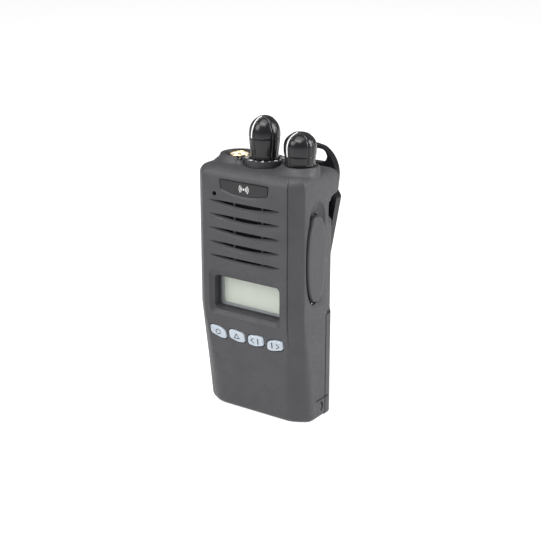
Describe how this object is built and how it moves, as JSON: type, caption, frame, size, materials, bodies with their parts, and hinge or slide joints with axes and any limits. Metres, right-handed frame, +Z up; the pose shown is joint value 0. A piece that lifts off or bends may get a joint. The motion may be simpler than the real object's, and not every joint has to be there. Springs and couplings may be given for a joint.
{
  "type": "handheld two-way radio",
  "caption": "Charcoal handheld two-way radio with speaker slots, display, soft keys, twin top knobs, battery pack and sprung belt clip.",
  "frame": {"origin": "centre of the bounding box in plan, on the surface the radio stands on", "axes": "+Z up along the radio, -Y out of the front face, +X to the right seen from the front"},
  "size_m": [0.06, 0.0584, 0.1424],
  "materials": {
    "housing": "fine textured moulded plastic, charcoal grey",
    "cap": "smooth satin moulded plastic",
    "knob_black": "glossy black moulded plastic",
    "rubber": "black moulded rubber",
    "key": "pale blue-grey satin key tops",
    "window": "clear display window",
    "indicator": "dark tinted indicator lens",
    "display": "grey-green reflective display panel",
    "insulator": "cream white insulating plastic",
    "die_cast": "die-cast light alloy",
    "steel": "plated steel",
    "gold": "gold-plated brass",
    "board": "green circuit board",
    "felt": "black speaker felt",
    "cone": "pressed paper cone",
    "cell": "shrink-wrapped cell"
  },
  "bodies": {
    "radio": {"front_case": "housing", "name_badge": "housing", "antenna_rim": "housing", "battery_case": "housing", "battery_cover": "housing", "accessory_cap": "cap", "number_ring": "knob_black", "key_mat": "rubber", "microphone_boot": "rubber", "chassis_seal": "rubber", "terminal_block": "rubber", "display_window": "window", "status_lens": "indicator", "display_panel": "display", "antenna_insulator": "insulator", "backlight": "insulator", "rear_chassis": "die_cast", "clip_bracket": "steel", "clip_pin": "steel", "clip_spring": "steel", "clip_screw_left": "steel", "clip_screw_right": "steel", "cap_catch": "steel", "selector_bush": "steel", "volume_bush": "steel", "speaker_frame": "steel", "speaker_magnet": "steel", "microphone": "steel", "shield_can": "steel", "antenna_socket": "gold", "antenna_contact": "gold", "accessory_contacts": "gold", "battery_contacts": "gold", "main_board": "board", "control_board": "board", "battery_board": "board", "selector_body": "board", "volume_body": "board", "speaker_felt": "felt", "speaker_cone": "cone", "cell_left": "cell", "cell_right": "cell"},
    "selector": {"selector_knob": "knob_black", "selector_shaft": "steel"},
    "volume": {"volume_knob": "knob_black", "volume_shaft": "steel"},
    "key_one": {"key_1": "key"},
    "key_two": {"key_2": "key"},
    "key_three": {"key_3": "key"},
    "key_four": {"key_4": "key"},
    "talk_button": {"ptt_button": "rubber"},
    "upper_side_key": {"side_key_upper": "rubber"},
    "lower_side_key": {"side_key_lower": "rubber"},
    "clip_arm": {"clip_lever": "knob_black"},
    "latch": {"release_latch": "knob_black"},
    "catch": {"safety_catch": "steel"}
  },
  "joints": [
    {"name": "selector_turn", "type": "hinge", "parent": "radio", "child": "selector", "pos_m": [0, -0.0126, 0.123], "axis": [0, 0, 1], "range_deg": [-90, 247.5]},
    {"name": "volume_turn", "type": "hinge", "parent": "radio", "child": "volume", "pos_m": [0.019, -0.0124, 0.1226], "axis": [0, 0, 1], "range_deg": [-290, 0]},
    {"name": "key_one_press", "type": "slide", "parent": "radio", "child": "key_one", "axis": [0, 0.9892, 0.1465], "range_m": [0, 0.0008], "stiffness_N_per_m": 700, "springref_m": -0.0004},
    {"name": "key_two_press", "type": "slide", "parent": "radio", "child": "key_two", "axis": [0, 0.9892, 0.1465], "range_m": [0, 0.0008], "stiffness_N_per_m": 700, "springref_m": -0.0004},
    {"name": "key_three_press", "type": "slide", "parent": "radio", "child": "key_three", "axis": [0, 0.9892, 0.1465], "range_m": [0, 0.0008], "stiffness_N_per_m": 700, "springref_m": -0.0004},
    {"name": "key_four_press", "type": "slide", "parent": "radio", "child": "key_four", "axis": [0, 0.9892, 0.1465], "range_m": [0, 0.0008], "stiffness_N_per_m": 700, "springref_m": -0.0004},
    {"name": "talk_press", "type": "slide", "parent": "radio", "child": "talk_button", "axis": [1, 0, 0], "range_m": [0, 0.0013], "stiffness_N_per_m": 1200, "springref_m": -0.0005},
    {"name": "upper_side_press", "type": "slide", "parent": "radio", "child": "upper_side_key", "axis": [1, 0, 0], "range_m": [0, 0.0009], "stiffness_N_per_m": 900, "springref_m": -0.0004},
    {"name": "lower_side_press", "type": "slide", "parent": "radio", "child": "lower_side_key", "axis": [1, 0, 0], "range_m": [0, 0.0009], "stiffness_N_per_m": 900, "springref_m": -0.0004},
    {"name": "clip_swing", "type": "hinge", "parent": "radio", "child": "clip_arm", "pos_m": [0, 0.0173, 0.1], "axis": [1, 0, 0], "range_deg": [0, 18], "stiffness_Nm_per_rad": 0.45, "springref_deg": -17.19},
    {"name": "latch_slide", "type": "slide", "parent": "radio", "child": "latch", "axis": [0, -1, 0], "range_m": [0, 0.0016], "stiffness_N_per_m": 500, "springref_m": -0.0006},
    {"name": "catch_flip", "type": "hinge", "parent": "radio", "child": "catch", "pos_m": [0, -0.0177, 0.001], "axis": [1, 0, 0], "range_deg": [-80, 0]}
  ]
}
